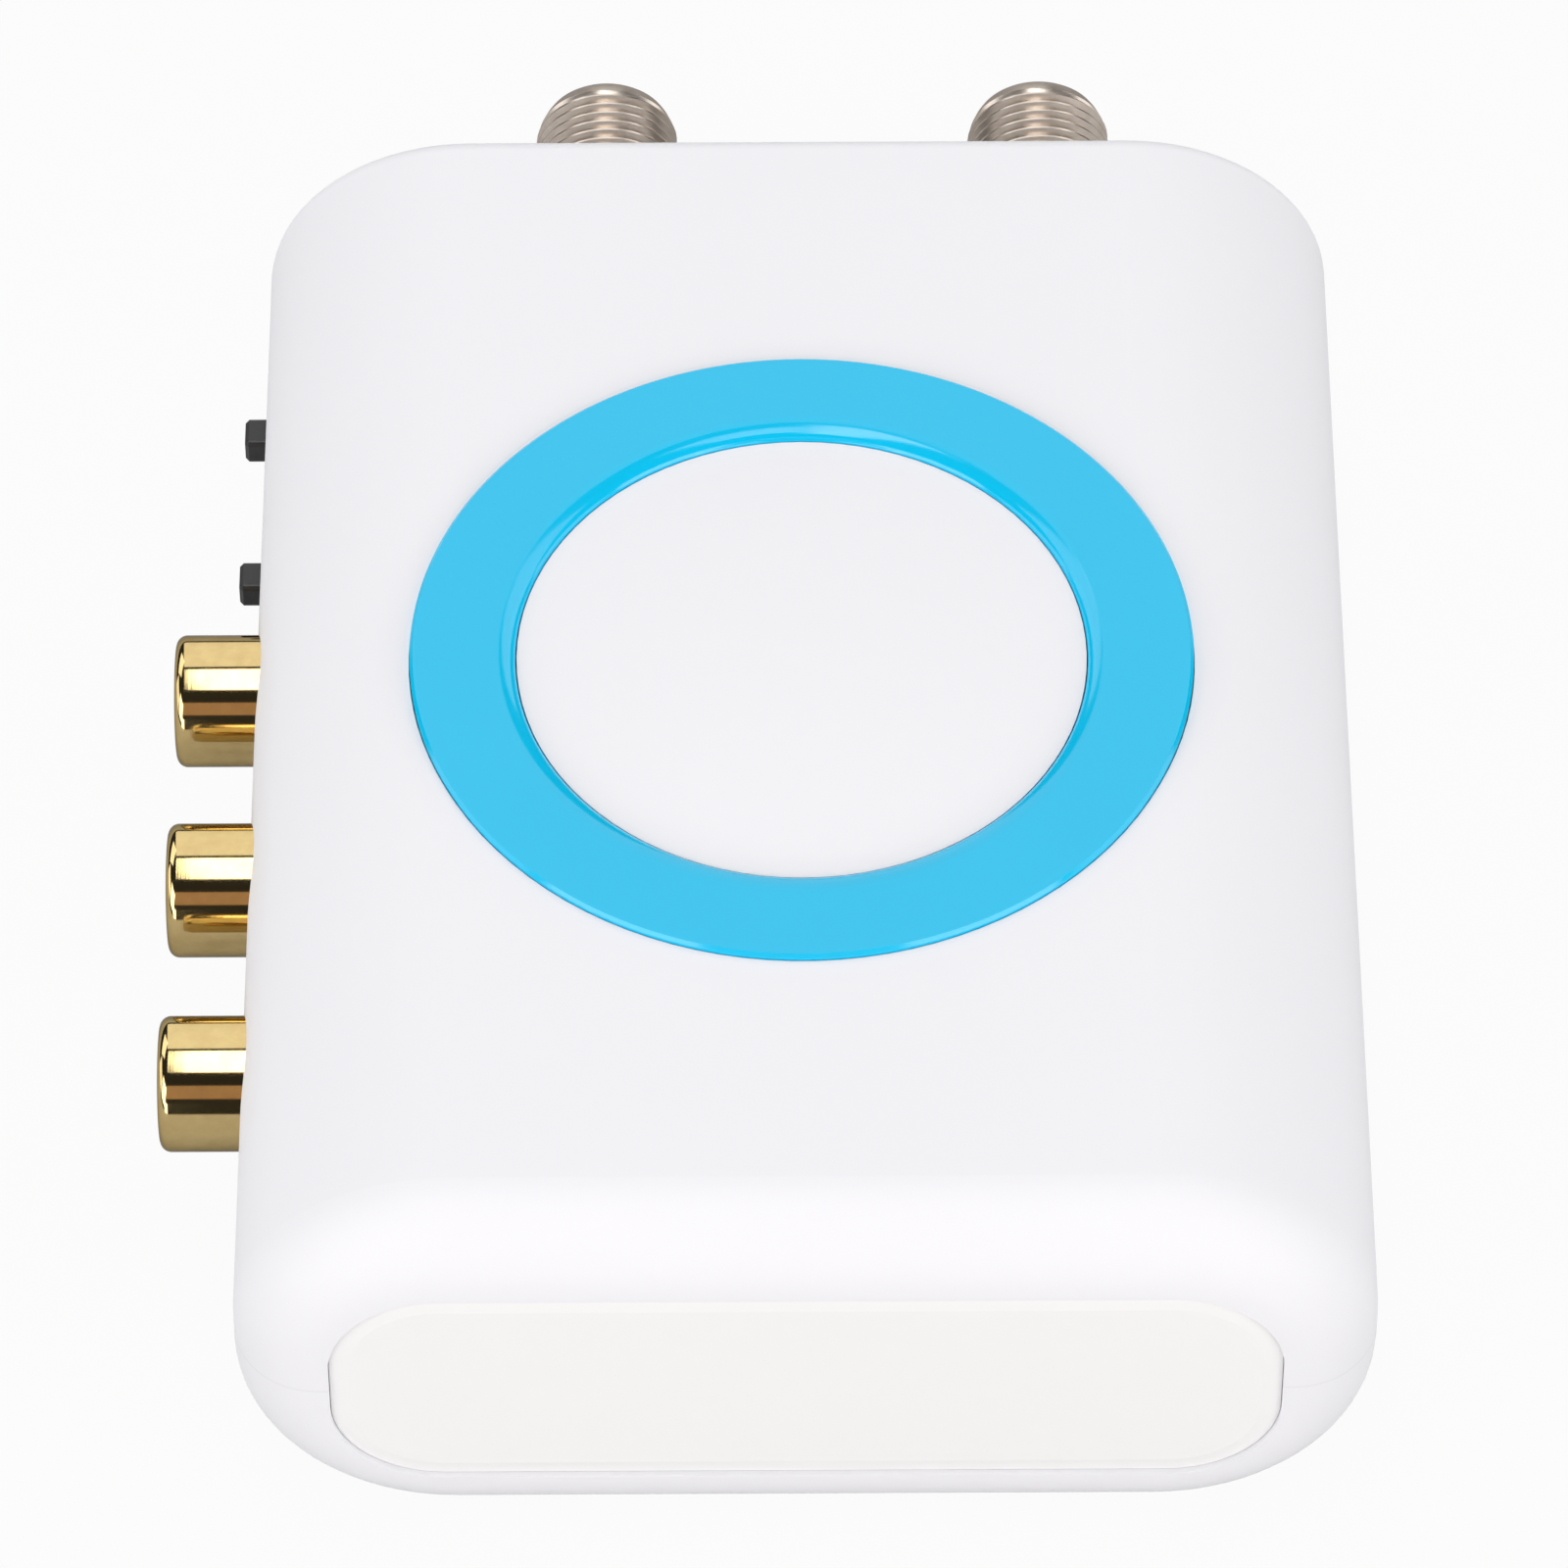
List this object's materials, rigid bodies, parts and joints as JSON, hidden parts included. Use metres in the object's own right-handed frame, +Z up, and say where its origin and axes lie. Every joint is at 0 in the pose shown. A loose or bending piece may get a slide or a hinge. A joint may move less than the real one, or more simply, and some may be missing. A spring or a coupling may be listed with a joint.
{
  "type": "rf modulator",
  "caption": "White pebble-shaped box with a blue ring in its lid, phono jacks and slide switches in its side, and threaded coaxial sockets behind.",
  "frame": {"origin": "middle of the case's base, on the surface that it stands on", "axes": "+Z up through the lid; +Y towards the back, along the coaxial sockets; the phono jacks point along -X"},
  "size_m": [0.0752, 0.106, 0.0294],
  "materials": {
    "white_shell": "satin-gloss moulded",
    "white_panel": "satin-gloss moulded",
    "blue_ring": "gloss moulded",
    "zinc_screw": "zinc plated",
    "green_board": "solder resist on glass laminate",
    "tinned_sheet": "tinned",
    "gold_plate": "polished gold-coloured plate",
    "yellow_moulding": "moulded",
    "white_moulding": "moulded",
    "red_moulding": "moulded",
    "contact_brass": "tinned spring brass",
    "cream_insulator": "moulded",
    "nickel_plate": "bright nickel plate",
    "black_moulding": "moulded",
    "switch_steel": "plated sheet",
    "brown_laminate": "paper laminate",
    "capacitor_sleeve": "shrink sleeve",
    "lamp_lens": "clear tinted"
  },
  "bodies": {
    "case": {"accent_ring": "blue_ring", "audio_chip": "black_moulding", "board_screws": "zinc_screw", "bottom_shell": "white_shell", "case_screws": "zinc_screw", "coax_contact_antenna": "contact_brass", "coax_contact_tv": "contact_brass", "coax_core_antenna": "cream_insulator", "coax_core_tv": "cream_insulator", "coax_nut_antenna": "nickel_plate", "coax_nut_tv": "nickel_plate", "coax_socket_antenna": "nickel_plate", "coax_socket_tv": "nickel_plate", "coax_washer_antenna": "nickel_plate", "coax_washer_tv": "nickel_plate", "crystal": "tinned_sheet", "front_panel": "white_panel", "jack_contact_left": "contact_brass", "jack_contact_right": "contact_brass", "jack_contact_video": "contact_brass", "jack_housing_left": "white_moulding", "jack_housing_right": "red_moulding", "jack_housing_video": "yellow_moulding", "jack_shell_left": "gold_plate", "jack_shell_right": "gold_plate", "jack_shell_video": "gold_plate", "main_board": "green_board", "modulator_chip": "black_moulding", "output_capacitor": "capacitor_sleeve", "power_inlet_housing": "black_moulding", "power_inlet_pin": "nickel_plate", "power_inlet_spring": "contact_brass", "power_lamp": "lamp_lens", "rear_panel": "white_panel", "regulator": "black_moulding", "shield_frame": "tinned_sheet", "shield_lid": "tinned_sheet", "supply_capacitor": "capacitor_sleeve", "switch_base_channel": "brown_laminate", "switch_base_output": "brown_laminate", "switch_frame_channel": "switch_steel", "switch_frame_output": "switch_steel", "top_shell": "white_shell", "tuning_coil": "tinned_sheet"},
    "channel_knob": {"switch_knob_channel": "black_moulding"},
    "output_knob": {"switch_knob_output": "black_moulding"}
  },
  "joints": [
    {"name": "channel_switch_slide", "type": "slide", "parent": "case", "child": "channel_knob", "axis": [0, -1, 0], "range_m": [0, 0.002]},
    {"name": "output_switch_slide", "type": "slide", "parent": "case", "child": "output_knob", "axis": [0, -1, 0], "range_m": [0, 0.002]}
  ]
}
